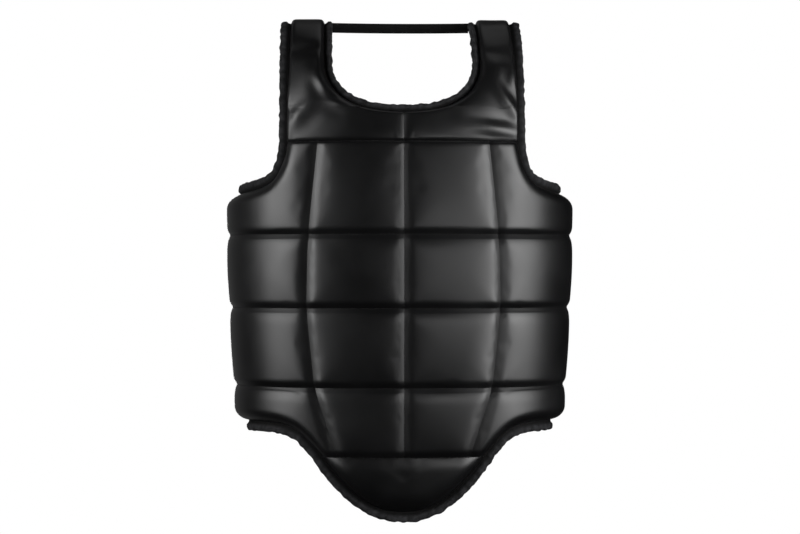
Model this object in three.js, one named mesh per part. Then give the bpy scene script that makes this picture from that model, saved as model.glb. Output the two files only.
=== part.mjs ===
// Padded body protector for contact sports, in the form that it has when worn. A quilted front and two quilted
// side panels wrap the trunk, a yoke in two halves carries the shoulder straps, and a rounded flap covers the
// lower belly. Tape binds every free edge, a neck strap joins the shoulders and a back strap closes the loop.
// Millimetres. +Z is up and the front faces -Y. Left and right are as seen from the front.
// The origin is midway between the crests of the shoulder straps, on the side that meets the shoulders.
import * as THREE from "three";

const radians = THREE.MathUtils.degToRad;
const { lerp, smoothstep } = THREE.MathUtils;

// Wearer's side of the padding: half an ellipse at each height
const SECTIONS = [
  { z: -144, halfWidth: 187, halfDepth: 108 },
  { z: -251, halfWidth: 189, halfDepth: 115 },
  { z: -338, halfWidth: 186, halfDepth: 115 },
  { z: -430, halfWidth: 181, halfDepth: 111 },
  { z: -514, halfWidth: 177, halfDepth: 105 },
  { z: -593, halfWidth: 174, halfDepth: 92 },
];

// Sewn lines from the yoke seam down to the flap seam: the height, where the column seam crosses the line, and
// the angle round the body where the line meets the free edge of the side panel
const SEWN_LINES = [
  { z: -144, columnX: 95, cornerDeg: 46 },
  { z: -252.5, columnX: 105, cornerDeg: 46 },
  { z: -339.5, columnX: 107, cornerDeg: 44 },
  { z: -433, columnX: 98, cornerDeg: 39 },
  { z: -514, columnX: 73, cornerDeg: 33 },
];

// Free edges of the side panel: under the arm, and along the hem
const ARMHOLE = [
  { deg: 46, z: -144 },
  { deg: 47.8, z: -166 },
  { deg: 51.5, z: -184 },
  { deg: 60, z: -194 },
  { deg: 75, z: -199 },
  { deg: 93, z: -203 },
  { deg: 112, z: -206 },
];
const HEM = [
  { deg: 33, z: -514 },
  { deg: 37.5, z: -500 },
  { deg: 42.5, z: -488 },
  { deg: 50, z: -481 },
  { deg: 61, z: -478.5 },
  { deg: 85, z: -479 },
  { deg: 112, z: -480 },
];
const REAR_DEG = 112;

// Yoke and shoulder straps: edges of the padding in front view, and the lift angle over the shoulder
const YOKE = { outerX: 135.5, neckHalfWidth: 89, archPower: 1.7 };
const NECKLINE = { topZ: -45, bottomZ: -107.5, power: 2.4 };
const STRAP_END = { startDeg: 122, roundDeg: 10, narrowing: 7 };

// Folds in the leather of the yoke, seen from the front: the middle of a ridge, its length and width, its turn
// from level and its height. A hollow lies along each side of a ridge, and a crease has a height below zero.
const FOLDS = {
  right: [
    { x: 112, z: -62, length: 46, width: 26, turnDeg: 90, height: 6.4 },
    { x: 126, z: -69, length: 28, width: 6, turnDeg: 84, height: 2 },
    { x: 116, z: -98, length: 40, width: 6.5, turnDeg: -55, height: 3 },
    { x: 104, z: -130, length: 58, width: 6.5, turnDeg: -6, height: 2.6 },
    { x: 112, z: -44, length: 46, width: 7, turnDeg: 0, height: -1 },
  ],
  left: [
    { x: 98, z: -58, length: 60, width: 32, turnDeg: 90, height: 6 },
    { x: 115, z: -113, length: 36, width: 8, turnDeg: -48, height: 2.4 },
    { x: 90, z: -82, length: 24, width: 6, turnDeg: 62, height: 2.2 },
    { x: 70, z: -105, length: 24, width: 6, turnDeg: 28, height: 2.2 },
    { x: 112, z: -38, length: 46, width: 7, turnDeg: 0, height: -1 },
  ],
};
const FOLD_MARGIN = 7;

const FLAP = { tipZ: -583, topHalfWidth: 97, power: 2.1 };

// Padding thickness, and how it is drawn in beside a sewn line or a bound edge. A share is the part of the
// thickness lost at the line, and a reach is how far from the line the padding is full again.
const PADDING = { body: 22, yoke: 16, strap: 10.5, flap: 18, edge: 5.5 };
const ROW_GROOVE = { frontShare: 0.16, sideShare: 0.15, reach: 11 };
const COLUMN_GROOVE = { frontShare: 0.12, sideShare: 0.12, reach: 12 };
const CROWN = { share: 0.07, reach: 45 };
const EDGE_REACH = { body: 16, yoke: 5, flap: 24 };
const SEWN_MARGIN = 3;
const SEAM_GAP = 0.2;

const TAPE = { width: 9, neckWidth: 5.9, thickness: 8, round: 2.8, gap: 0.35 };
const REAR_TAPE_CUT = 1;
const NECK_STRAP = { width: 12, thickness: 2, liftDeg: 101, rise: 5.5, sag: 0.8 };
const BACK_STRAP = { width: 50, thickness: 2, z: -338, startDeg: 98, gap: 0.9 };

// Where the grid lines cross one quilted cell, close together beside its sewn edges
const CELL_STEPS = [0, 0.05, 0.16, 0.36, 0.64, 0.84, 0.95, 1];
// Across a side panel, with the corner of the free edge on one of the lines
const CORNER_AT = 0.2;
const SIDE_STEPS = [0, 0.05, 0.12, CORNER_AT, 0.24, 0.28, 0.34, 0.44, 0.58, 0.74, 0.88, 0.96, 1];
// Across the yoke half and its strap, then along it: up to the neckline, round the neckline, over the shoulder
// and round the end of the strap
const STRAP_STEPS = [0, 0.07, 0.17, 0.31, 0.5, 0.69, 0.83, 0.93, 1];
const CHEST_STEPS = [0, 0.12, 0.28, 0.5, 0.76];
const NECKLINE_DEGREES = [0, 9, 19, 30, 42, 54, 66, 78];
const STRAP_ROWS = 9;
const STRAP_END_DEGREES = [22, 42, 60, 76];
// Half of the flap's grid columns, and its rows by their share of the flap's top width
const FLAP_COLUMNS = [0, 0.36, 0.62, 0.82, 0.94, 1];
const FLAP_ROWS = [1, 0.97, 0.9, 0.8, 0.68, 0.55, 0.42, 0.28, 0.15];

const leather = new THREE.MeshStandardMaterial({ color: 0x161617, roughness: 0.42, metalness: 0 });
const tape = new THREE.MeshStandardMaterial({ color: 0x0e0e0f, roughness: 0.85, metalness: 0 });
const elastic = new THREE.MeshStandardMaterial({ color: 0x0b0b0c, roughness: 0.8, metalness: 0 });

// One column of a table, read between its rows along a smooth curve
function readTable(table, by, key, at) {
  const last = table.length - 1;
  const rising = table[last][by] > table[0][by];
  const passed = table.findIndex((row) => (rising ? row[by] > at : row[by] < at));
  const i = passed < 0 ? last - 1 : Math.max(passed - 1, 0);
  const slope = (p, q) => (table[q][key] - table[p][key]) / (table[q][by] - table[p][by]);
  const tangent = (p) => slope(Math.max(p - 1, 0), Math.min(p + 1, last));
  const span = table[i + 1][by] - table[i][by];
  const t = THREE.MathUtils.clamp((at - table[i][by]) / span, 0, 1);
  const rise = 3 * t ** 2 - 2 * t ** 3;
  return (
    lerp(table[i][key], table[i + 1][key], rise) +
    span * (tangent(i) * (t - 2 * t ** 2 + t ** 3) + tangent(i + 1) * (t ** 3 - t ** 2))
  );
}

// A place on the wearer's side of the body, with the direction out of the padding
function bodyPlace(deg, z) {
  const halfWidth = readTable(SECTIONS, "z", "halfWidth", z);
  const halfDepth = readTable(SECTIONS, "z", "halfDepth", z);
  const sine = Math.sin(radians(deg));
  const cosine = Math.cos(radians(deg));
  return {
    point: new THREE.Vector3(halfWidth * sine, -halfDepth * cosine, z),
    normal: new THREE.Vector3(halfDepth * sine, -halfWidth * cosine, 0).normalize(),
  };
}

// The angle round the body of a place that is x from the centre at height z
function angleAt(x, z) {
  return THREE.MathUtils.radToDeg(Math.asin(x / readTable(SECTIONS, "z", "halfWidth", z)));
}

// A place on the wearer's side of the yoke: each x has its own arch from the yoke seam over the shoulder
function yokePoint(x, liftDeg) {
  const [{ z, halfWidth, halfDepth }] = SECTIONS;
  const reach = halfDepth * Math.sqrt(1 - (x / halfWidth) ** 2);
  const arched = (wave) => Math.sign(wave) * Math.abs(wave) ** (2 / YOKE.archPower);
  const [forward, up] = [Math.cos(radians(liftDeg)), Math.sin(radians(liftDeg))].map(arched);
  return new THREE.Vector3(x, -reach * forward, z * (1 - up));
}

// The lift angle at which the arch is at height z
function liftAt(z) {
  return THREE.MathUtils.radToDeg(Math.asin((1 - z / SECTIONS[0].z) ** (YOKE.archPower / 2)));
}

function yokePlace(x, liftDeg) {
  const step = 0.5;
  const across = yokePoint(x + step, liftDeg).sub(yokePoint(x - step, liftDeg));
  const up = yokePoint(x, liftDeg + step).sub(yokePoint(x, liftDeg - step));
  return { point: yokePoint(x, liftDeg), normal: across.cross(up).normalize() };
}

function distanceTo(point, line) {
  const nearest = new THREE.Vector3();
  const distances = line.slice(1).map((end, i) => {
    new THREE.Line3(line[i], end).closestPointToPoint(point, true, nearest);
    return nearest.distanceTo(point);
  });
  return Math.min(...distances);
}

// The share of the padding left beside a sewn line: a straight-sided groove that rounds off into the cell
function sewnDip(distance, share, reach) {
  const q = Math.min(distance / reach, 1);
  return 1 - share * (1 - Math.sin((q * Math.PI) / 2));
}

// The share that is left beside a bound edge: a flat margin under the stitching, then a quarter round
function boundRoll(distance, share, reach) {
  const q = Math.min(Math.max(distance - SEWN_MARGIN, 0) / reach, 1);
  return 1 - share * (1 - Math.sqrt(1 - (1 - q) ** 2));
}

// Full padding, drawn in along the sewn lines as grooves and along the bound edges down to the edge thickness
function paddingAt(point, full, { rows = [], columns = [], bound = [], edgeReach }) {
  const side = smoothstep(Math.abs(point.x), 120, 185);
  const groove = ({ frontShare, sideShare, reach }) => (line) => {
    const distance = distanceTo(point, line);
    const dip = sewnDip(distance, lerp(frontShare, sideShare, side), reach);
    return dip * sewnDip(distance, CROWN.share, CROWN.reach);
  };
  const grooves = [...rows.map(groove(ROW_GROOVE)), ...columns.map(groove(COLUMN_GROOVE))];
  const edges = bound.map((line) => boundRoll(distanceTo(point, line), 1 - PADDING.edge / full, edgeReach));
  const left = [...grooves, ...edges].reduce((product, factor) => product * factor, full);
  return Math.max(left, PADDING.edge);
}

// A closed solid from a grid of places: outer skin over the padding, inner skin, and a wall round the rim
function paddedGeometry(grid) {
  const rows = grid.length;
  const columns = grid[0].length;
  const outer = grid.flat().map(({ point, normal, padding }) => point.clone().addScaledVector(normal, padding));
  const inner = grid.flat().map(({ point }) => point);
  const at = (r, c) => r * columns + c;
  const under = (i) => i + rows * columns;
  const faces = [];
  const quad = (a, b, c, d) => faces.push(a, b, c, a, c, d);
  for (let r = 0; r < rows - 1; r++) {
    for (let c = 0; c < columns - 1; c++) {
      quad(at(r, c), at(r + 1, c), at(r + 1, c + 1), at(r, c + 1));
      quad(under(at(r, c)), under(at(r, c + 1)), under(at(r + 1, c + 1)), under(at(r + 1, c)));
    }
  }
  const rim = [
    ...Array.from({ length: columns - 1 }, (_, c) => at(0, c)),
    ...Array.from({ length: rows - 1 }, (_, r) => at(r, columns - 1)),
    ...Array.from({ length: columns - 1 }, (_, c) => at(rows - 1, columns - 1 - c)),
    ...Array.from({ length: rows - 1 }, (_, r) => at(rows - 1 - r, 0)),
  ];
  rim.forEach((a, i) => {
    const b = rim[(i + 1) % rim.length];
    quad(a, b, under(b), under(a));
  });
  return geometryOf([...outer, ...inner], faces);
}

function geometryOf(points, faces) {
  const geometry = new THREE.BufferGeometry().setFromPoints(points);
  geometry.setIndex(faces);
  geometry.computeVertexNormals();
  return geometry;
}

// A closed solid swept through sections that are rings of the same number of points
function sweptGeometry(sections) {
  const count = sections[0].length;
  const faces = [];
  for (let s = 0; s < sections.length - 1; s++) {
    for (let i = 0; i < count; i++) {
      const j = (i + 1) % count;
      const [a, b] = [s * count + i, s * count + j];
      faces.push(a, b, b + count, a, b + count, a + count);
    }
  }
  const last = (sections.length - 1) * count;
  for (let i = 1; i < count - 1; i++) {
    faces.push(0, i + 1, i, last, last + i, last + i + 1);
  }
  return geometryOf(sections.flat(), faces);
}

function mirrored(geometry) {
  const copy = geometry.clone().scale(-1, 1, 1);
  const index = copy.getIndex().array;
  for (let i = 0; i < index.length; i += 3) {
    [index[i + 1], index[i + 2]] = [index[i + 2], index[i + 1]];
  }
  copy.computeVertexNormals();
  return copy;
}

// Grid steps of several cells in a row, counted in cells
function cellSteps(cells) {
  return Array.from({ length: cells }, (_, k) => CELL_STEPS.slice(k ? 1 : 0).map((step) => k + step)).flat();
}

// A grid between sewn lines: lineAt gives the angle and height of a place along one of them
function quiltedGrid(columns, lineAt) {
  const rows = SEWN_LINES.length - 1;
  return cellSteps(rows).map((step) => {
    const above = Math.min(Math.floor(step), rows - 1);
    return columns.map((c) => {
      const [top, bottom] = [lineAt(above, c), lineAt(above + 1, c)];
      return bodyPlace(lerp(top.deg, bottom.deg, step - above), lerp(top.z, bottom.z, step - above));
    });
  });
}

function column(grid, c) {
  return grid.map((row) => row.at(c).point);
}

function row(grid, r) {
  return grid.at(r).map((place) => place.point);
}

function addPadding(grid, fullAt, lines) {
  const pad = (place) => ({ ...place, padding: paddingAt(place.point, fullAt(place.point), lines) });
  return grid.map((places) => places.map(pad));
}

// Height of a sewn line, set back where the panel is cut and joined to the yoke or the flap
function cutZ(k) {
  const { z } = SEWN_LINES[k];
  if (k === 0) return z - SEAM_GAP;
  return k === SEWN_LINES.length - 1 ? z + SEAM_GAP : z;
}

// The column seam at a sewn line, set back by the gap on either side of it
function columnDeg(k, setBack) {
  const { z, columnX } = SEWN_LINES[k];
  return angleAt(columnX + setBack, z);
}

const CELL_ROWS = CELL_STEPS.length - 1;
const quiltLines = (grid) => SEWN_LINES.map((_, k) => row(grid, k * CELL_ROWS));

// Front panel: two columns of cells between the column seams
function frontPanelGrid() {
  const columns = cellSteps(2).map((step) => step - 1);
  const grid = quiltedGrid(columns, (k, c) => ({ deg: c * columnDeg(k, -SEAM_GAP), z: cutZ(k) }));
  const seams = [column(grid, 0), column(grid, CELL_STEPS.length - 1), column(grid, -1)];
  return addPadding(grid, () => PADDING.body, { rows: quiltLines(grid), columns: seams });
}

// Right side panel: one column of cells from the column seam round to the rear edge
function sidePanelGrid() {
  const lastLine = SEWN_LINES.length - 1;
  const grid = quiltedGrid(SIDE_STEPS, (k, c) => {
    const { cornerDeg } = SEWN_LINES[k];
    if (c <= CORNER_AT) return { deg: lerp(columnDeg(k, SEAM_GAP), cornerDeg, c / CORNER_AT), z: cutZ(k) };
    const deg = lerp(cornerDeg, REAR_DEG, (c - CORNER_AT) / (1 - CORNER_AT));
    if (k === 0) return { deg, z: readTable(ARMHOLE, "deg", "z", deg) };
    return { deg, z: k === lastLine ? readTable(HEM, "deg", "z", deg) : cutZ(k) };
  });
  const corner = SIDE_STEPS.indexOf(CORNER_AT);
  const [top, ...inside] = quiltLines(grid);
  const bottom = inside.pop();
  return addPadding(grid, () => PADDING.body, {
    rows: [top.slice(0, corner + 1), ...inside, bottom.slice(0, corner + 1)],
    columns: [column(grid, 0)],
    bound: [top.slice(corner), column(grid, -1), bottom.slice(corner)],
    edgeReach: EDGE_REACH.body,
  });
}

// Rows of the right yoke half: the lift angle with the inner and outer edges of the padding there
function yokeRows() {
  const { outerX, neckHalfWidth } = YOKE;
  const { topZ, bottomZ, power } = NECKLINE;
  const rows = [];
  const chestLift = liftAt(bottomZ);
  for (const share of CHEST_STEPS) {
    rows.push({ lift: chestLift * share, innerX: SEAM_GAP, outerX });
  }
  for (const deg of NECKLINE_DEGREES) {
    const innerX = Math.max(neckHalfWidth * Math.sin(radians(deg)) ** (2 / power), SEAM_GAP);
    const z = lerp(topZ, bottomZ, Math.cos(radians(deg)) ** (2 / power));
    rows.push({ lift: liftAt(z), innerX, outerX });
  }
  const strapStart = liftAt(topZ);
  const narrowed = (lift) => neckHalfWidth + STRAP_END.narrowing * smoothstep(lift, 90, STRAP_END.startDeg);
  for (let i = 0; i <= STRAP_ROWS; i++) {
    const lift = lerp(strapStart, STRAP_END.startDeg, i / STRAP_ROWS);
    rows.push({ lift, innerX: narrowed(lift), outerX });
  }
  const middle = (narrowed(STRAP_END.startDeg) + outerX) / 2;
  for (const deg of STRAP_END_DEGREES) {
    const half = (outerX - middle) * Math.cos(radians(deg));
    const lift = STRAP_END.startDeg + STRAP_END.roundDeg * Math.sin(radians(deg));
    rows.push({ lift, innerX: middle - half, outerX: middle + half });
  }
  return rows;
}

// Ridges and hollows of the folds at a place. They die away at the edges, where the leather is sewn down.
function foldHeight(point, folds, edges) {
  const nearest = Math.min(...edges.map((line) => distanceTo(point, line)));
  const room = Math.min(nearest / FOLD_MARGIN, 1);
  const heights = folds.map(({ x, z, length, width, turnDeg, height }) => {
    const turn = radians(turnDeg);
    const along = ((point.x - x) * Math.cos(turn) + (point.z - z) * Math.sin(turn)) / (length / 2);
    const across = ((point.z - z) * Math.cos(turn) - (point.x - x) * Math.sin(turn)) / width;
    return room * height * (1 - across ** 2) * Math.exp(-(across ** 2) / 2 - along ** 2);
  });
  return heights.reduce((total, height) => total + height, 0);
}

// Right half of the yoke with its shoulder strap. Rows run from the strap's end down to the yoke seam.
function yokeGrid(folds) {
  const places = yokeRows().map(({ lift, innerX, outerX }) =>
    STRAP_STEPS.map((c) => yokePlace(lerp(innerX, outerX, c), lift)),
  );
  const grid = places.reverse();
  const neckEnd = grid.length - CHEST_STEPS.length;
  const full = ({ z }) => lerp(PADDING.yoke, PADDING.strap, smoothstep(z, NECKLINE.bottomZ, NECKLINE.topZ));
  const [inner, outer, end, seam] = [column(grid, 0), column(grid, -1), row(grid, 0), row(grid, -1)];
  const smooth = addPadding(grid, full, {
    rows: [seam],
    columns: [inner.slice(neckEnd - 1)],
    bound: [inner.slice(0, neckEnd), end, outer],
    edgeReach: EDGE_REACH.yoke,
  });
  const fold = (place) => {
    return { ...place, padding: place.padding + foldHeight(place.point, folds, [inner, outer, end, seam]) };
  };
  return { neckEnd, grid: smooth.map((line) => line.map(fold)) };
}

// Lower flap: rows from the flap seam down to the rounded tip
function flapGrid() {
  const { tipZ, topHalfWidth, power } = FLAP;
  const topZ = SEWN_LINES.at(-1).z - SEAM_GAP;
  const leftColumns = FLAP_COLUMNS.slice(1).map((c) => -c);
  const columns = [...leftColumns.reverse(), ...FLAP_COLUMNS];
  const grid = FLAP_ROWS.map((share) => {
    const z = lerp(tipZ, topZ, share ** power);
    return columns.map((c) => bodyPlace(angleAt(c * topHalfWidth * share, z), z));
  });
  return addPadding(grid, () => PADDING.flap, {
    rows: [row(grid, 0)],
    bound: [column(grid, 0), row(grid, -1), column(grid, -1)],
    edgeReach: EDGE_REACH.flap,
  });
}

// Places along a free edge, each with the neighbour that is further into the padding
function edgePlaces(places, inside) {
  return places.map((place, i) => ({ ...place, inside: inside[i].point }));
}

const gridColumn = (grid, c) => grid.map((places) => places.at(c));

// Tape folded over a free edge. Its section stands off the edge along the surface, away from the padding.
function boundEdge(path, width = TAPE.width) {
  const { thickness, round, gap } = TAPE;
  const far = gap + width;
  const arc = [0, 45, 90].map((deg) => [round * Math.sin(radians(deg)), round * (1 - Math.cos(radians(deg)))]);
  const lower = arc.map(([o, n]) => [far - round + o, n]);
  const upper = arc.map(([o, n]) => [far - round + o, thickness - n]).reverse();
  const section = [[gap, 0], ...lower, ...upper, [gap, thickness]];
  const sections = path.map(({ point, normal, inside }, i) => {
    const along = path[Math.min(i + 1, path.length - 1)].point.clone().sub(path[Math.max(i - 1, 0)].point);
    const out = along.cross(normal).normalize();
    if (out.dot(point.clone().sub(inside)) < 0) out.negate();
    return section.map(([o, n]) => point.clone().addScaledVector(out, o).addScaledVector(normal, n));
  });
  return outwardSweep(sections);
}

// Sections may run either way round, so the faces are turned out by the sign of the volume
function outwardSweep(sections) {
  const geometry = sweptGeometry(sections);
  const at = geometry.getAttribute("position");
  const index = geometry.getIndex().array;
  const corner = (i) => new THREE.Vector3().fromBufferAttribute(at, index[i]);
  let volume = 0;
  for (let i = 0; i < index.length; i += 3) {
    volume += corner(i).dot(corner(i + 1).cross(corner(i + 2)));
  }
  if (volume > 0) return geometry;
  return sweptGeometry(sections.map((ring) => [...ring].reverse()));
}

// The last place of a path carried on, past a corner that another tape runs up to
function carriedOn(path, distance) {
  const [before, end] = path.slice(-2);
  const shift = end.point.clone().sub(before.point).setLength(distance);
  return [...path, { ...end, point: end.point.clone().add(shift), inside: end.inside.clone().add(shift) }];
}

function mirroredPlace({ point, normal, inside }) {
  const flip = (v) => new THREE.Vector3(-v.x, v.y, v.z);
  return { point: flip(point), normal: flip(normal), inside: flip(inside) };
}

// Half of the round end of a strap, from just beside its middle out to the edge at column c
function strapTip(grid, c) {
  const [tip, next] = [grid[0], grid[1]];
  const middle = Math.floor(tip.length / 2);
  const half = c === 0 ? tip.slice(1, middle + 1).reverse() : tip.slice(middle, -1);
  const nextHalf = c === 0 ? next.slice(1, middle + 1).reverse() : next.slice(middle, -1);
  const path = edgePlaces(half, nextHalf);
  const apart = path[1].point.clone().sub(path[0].point).setLength(TAPE.gap / 2);
  path[0] = { ...path[0], point: path[0].point.clone().add(apart) };
  return path;
}

// Tape round the neck, from the end of one shoulder strap to the end of the other
function neckBindingPath({ grid, neckEnd }) {
  const edge = edgePlaces(gridColumn(grid, 0), gridColumn(grid, 1)).slice(0, neckEnd - 1);
  const centre = yokePlace(0, 0);
  const low = grid[neckEnd - 1][0];
  const bottom = { point: low.point.clone().setX(0), normal: low.normal.clone().setX(0).normalize() };
  const right = [...strapTip(grid, 0), ...edge];
  const left = right.map(mirroredPlace).reverse();
  return [...right, { ...bottom, inside: centre.point }, ...left];
}

// Tape from the end of the right strap down the armhole and along the top of the side panel
function armholeBindingPath({ grid }, side) {
  const strap = edgePlaces(gridColumn(grid, -1), gridColumn(grid, -2));
  const corner = SIDE_STEPS.indexOf(CORNER_AT);
  const wing = edgePlaces(side[0], side[1]).slice(corner + 1);
  return carriedOn([...strapTip(grid, -1), ...strap, ...wing], TAPE.width + TAPE.gap);
}

// Tape along the hem, from one rear corner down round the flap and up to the other
function hemBindingPath(side, flap) {
  const corner = SIDE_STEPS.indexOf(CORNER_AT);
  const wing = edgePlaces(side.at(-1), side.at(-2)).slice(corner + 1);
  const flapSide = edgePlaces(gridColumn(flap, -1), gridColumn(flap, -2)).reverse();
  const right = carriedOn([...flapSide, ...wing], TAPE.width + TAPE.gap);
  const left = right.map(mirroredPlace).reverse();
  return [...left, ...right];
}

// Tape down the rear edge of the right side panel, cut square between the other two tapes
function rearBindingPath(side) {
  const path = edgePlaces(gridColumn(side, -1), gridColumn(side, -2)).filter((_, r) => r % CELL_ROWS === 0);
  path[0] = { ...path[0], point: path[0].point.clone().setZ(path[0].point.z - REAR_TAPE_CUT) };
  const end = path.length - 1;
  path[end] = { ...path[end], point: path[end].point.clone().setZ(path[end].point.z + REAR_TAPE_CUT) };
  return path;
}

// Flat strap swept through stations: a point, its thickness direction and its width direction
function flatStrap(stations, width, thickness) {
  const corners = [[-1, -1], [1, -1], [1, 1], [-1, 1]];
  const sections = stations.map(({ point, normal, up }) =>
    corners.map(([n, w]) =>
      point.clone().addScaledVector(normal, (n * thickness) / 2).addScaledVector(up, (w * width) / 2),
    ),
  );
  return outwardSweep(sections);
}

// Elastic between the tapes on the inner edges of the two shoulder straps
function neckStrapGeometry() {
  const { width, thickness, liftDeg, rise, sag } = NECK_STRAP;
  const { point, normal } = yokePlace(YOKE.neckHalfWidth, liftDeg);
  const level = point.addScaledVector(normal, rise);
  const half = YOKE.neckHalfWidth - TAPE.neckWidth - 2 * TAPE.gap;
  const stations = [-1, -0.6, -0.2, 0.2, 0.6, 1].map((share) => ({
    point: new THREE.Vector3(share * half, level.y, level.z - sag * (1 - share ** 2)),
    normal: new THREE.Vector3(0, 1, 0),
    up: new THREE.Vector3(0, 0, 1),
  }));
  return flatStrap(stations, width, thickness);
}

// Elastic band that lies inside the two rear edges and takes the plain way round the back
function backStrapGeometry() {
  const { width, thickness, z, startDeg, gap } = BACK_STRAP;
  const count = 24;
  const sections = Array.from({ length: count + 1 }, (_, i) => {
    const deg = lerp(startDeg, 360 - startDeg, i / count);
    const [top, bottom] = [bodyPlace(deg, z + width / 2), bodyPlace(deg, z - width / 2)];
    const inset = ({ point, normal }, depth) => point.clone().addScaledVector(normal, -depth);
    return [inset(top, gap), inset(top, gap + thickness), inset(bottom, gap + thickness), inset(bottom, gap)];
  });
  return outwardSweep(sections);
}

const protector = new THREE.Group();

function add(name, geometry, material) {
  const mesh = new THREE.Mesh(geometry, material);
  mesh.name = name;
  protector.add(mesh);
}

// The right one of a pair is made, and the left one is its mirror image
function addPair(name, geometry, material) {
  add(`${name}_right`, geometry, material);
  add(`${name}_left`, mirrored(geometry), material);
}

const side = sidePanelGrid();
const yoke = yokeGrid(FOLDS.right);
const yokeLeft = yokeGrid(FOLDS.left);
const flap = flapGrid();

add("front_panel", paddedGeometry(frontPanelGrid()), leather);
addPair("side_panel", paddedGeometry(side), leather);
add("yoke_right", paddedGeometry(yoke.grid), leather);
add("yoke_left", mirrored(paddedGeometry(yokeLeft.grid)), leather);
add("lower_flap", paddedGeometry(flap), leather);
add("neck_binding", boundEdge(neckBindingPath(yoke), TAPE.neckWidth), tape);
addPair("armhole_binding", boundEdge(armholeBindingPath(yoke, side)), tape);
addPair("rear_binding", boundEdge(rearBindingPath(side)), tape);
add("hem_binding", boundEdge(hemBindingPath(side, flap)), tape);
add("neck_strap", neckStrapGeometry(), elastic);
add("back_strap", backStrapGeometry(), elastic);

export default protector;
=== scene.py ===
import math
from functools import partial

import bpy
import numpy as np
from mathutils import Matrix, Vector


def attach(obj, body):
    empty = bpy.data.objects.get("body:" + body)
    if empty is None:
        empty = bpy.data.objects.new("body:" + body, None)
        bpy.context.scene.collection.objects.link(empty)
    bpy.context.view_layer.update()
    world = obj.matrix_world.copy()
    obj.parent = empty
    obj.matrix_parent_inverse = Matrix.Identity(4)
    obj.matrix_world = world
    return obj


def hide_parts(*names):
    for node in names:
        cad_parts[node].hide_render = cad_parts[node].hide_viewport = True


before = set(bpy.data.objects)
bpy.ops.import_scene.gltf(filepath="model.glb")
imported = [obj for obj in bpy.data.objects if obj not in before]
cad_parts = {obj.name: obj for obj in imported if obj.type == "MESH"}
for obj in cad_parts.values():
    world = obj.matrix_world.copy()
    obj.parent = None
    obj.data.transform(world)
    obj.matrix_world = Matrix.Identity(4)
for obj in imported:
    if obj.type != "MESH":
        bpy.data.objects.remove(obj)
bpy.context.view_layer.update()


# Camera: a long lens, level with the middle of the protector and a little to the left of its centre line,
# as the protector was photographed. The picture is 800 by 534 pixels.
PICTURE_WIDTH_PX = 800
FOCAL_PX = 2361
SENSOR_MM = 36
CAMERA_DISTANCE = 2.88
CAMERA_HEIGHT = -0.291
CAMERA_TURN = math.radians(-2.2)


def placed(name, data):
    """A new object in the scene, at the origin."""
    thing = bpy.data.objects.new(name, data)
    bpy.context.scene.collection.objects.link(thing)
    return thing


camera_data = bpy.data.cameras.new("camera")
camera_data.sensor_width = SENSOR_MM
camera_data.lens = FOCAL_PX / PICTURE_WIDTH_PX * SENSOR_MM
camera = placed("camera", camera_data)
camera.location = (
    CAMERA_DISTANCE * math.sin(CAMERA_TURN), -CAMERA_DISTANCE * math.cos(CAMERA_TURN), CAMERA_HEIGHT)
camera.rotation_euler = (math.pi / 2, 0, CAMERA_TURN)
bpy.context.scene.camera = camera


# Front panel: the middle of the protector, two columns of quilted cells in synthetic leather over foam.
# The cover is cut a little larger than the foam and stitched through along every row and column, so it
# swells between the stitched lines and dips into a groove along each of them.
MM = 0.001
SECTIONS = [
    {"z": -144, "half_width": 187, "half_depth": 108},
    {"z": -251, "half_width": 189, "half_depth": 115},
    {"z": -338, "half_width": 186, "half_depth": 115},
    {"z": -430, "half_width": 181, "half_depth": 111},
    {"z": -514, "half_width": 177, "half_depth": 105},
    {"z": -593, "half_width": 174, "half_depth": 92},
]
SEWN_LINES = [
    {"z": -144, "column_x": 95, "corner_deg": 46},
    {"z": -252.5, "column_x": 105, "corner_deg": 46},
    {"z": -339.5, "column_x": 107, "corner_deg": 44},
    {"z": -433, "column_x": 98, "corner_deg": 39},
    {"z": -514, "column_x": 73, "corner_deg": 33},
]
BODY_PADDING, BODY_EDGE_REACH = 22, 16
EDGE_PADDING = 4
SEWN_MARGIN = 3
SEAM_LAP = 0.3
ROW_GROOVE = {
    "front_depth": 3.5, "side_depth": 3.3, "side_from": 120, "side_over": 65,
    "above": 9.5, "strip": 5.4, "strip_rise": 0.6, "below": 17.5,
}
COLUMN_GROOVE = {"depth": 2.7, "reach": 12}
JOIN_GROOVE = {"depth": 2.2, "reach": 3.6}
CROWN = {"depth": 1.2, "reach": 45}
CELL_WIDTH = 105
GRID_STEP = 5
STEPS_BESIDE_SEAM = (0, 1.2, 2.6, 4.2, 5.4, 6.8, 8.8, 11.5)
HELD_BESIDE_SEAM = 3
SETTLE_FRAMES = 20


def read_table(table, by, key, at):
    """One column of a table, read at each value of `at` along a smooth curve through its rows."""
    x = np.array([row[by] for row in table], float)
    y = np.array([row[key] for row in table], float)
    if x[0] > x[-1]:
        x, y = x[::-1], y[::-1]
    slopes = np.empty_like(y)
    slopes[1:-1] = (y[2:] - y[:-2]) / (x[2:] - x[:-2])
    slopes[0] = (y[1] - y[0]) / (x[1] - x[0])
    slopes[-1] = (y[-1] - y[-2]) / (x[-1] - x[-2])
    at = np.clip(at, x[0], x[-1])
    i = np.clip(np.searchsorted(x, at, side="right") - 1, 0, len(x) - 2)
    span = x[i + 1] - x[i]
    t = (at - x[i]) / span
    rise = 3 * t**2 - 2 * t**3
    curve = slopes[i] * (t - 2 * t**2 + t**3) + slopes[i + 1] * (t**3 - t**2)
    return y[i] + (y[i + 1] - y[i]) * rise + span * curve


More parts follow.
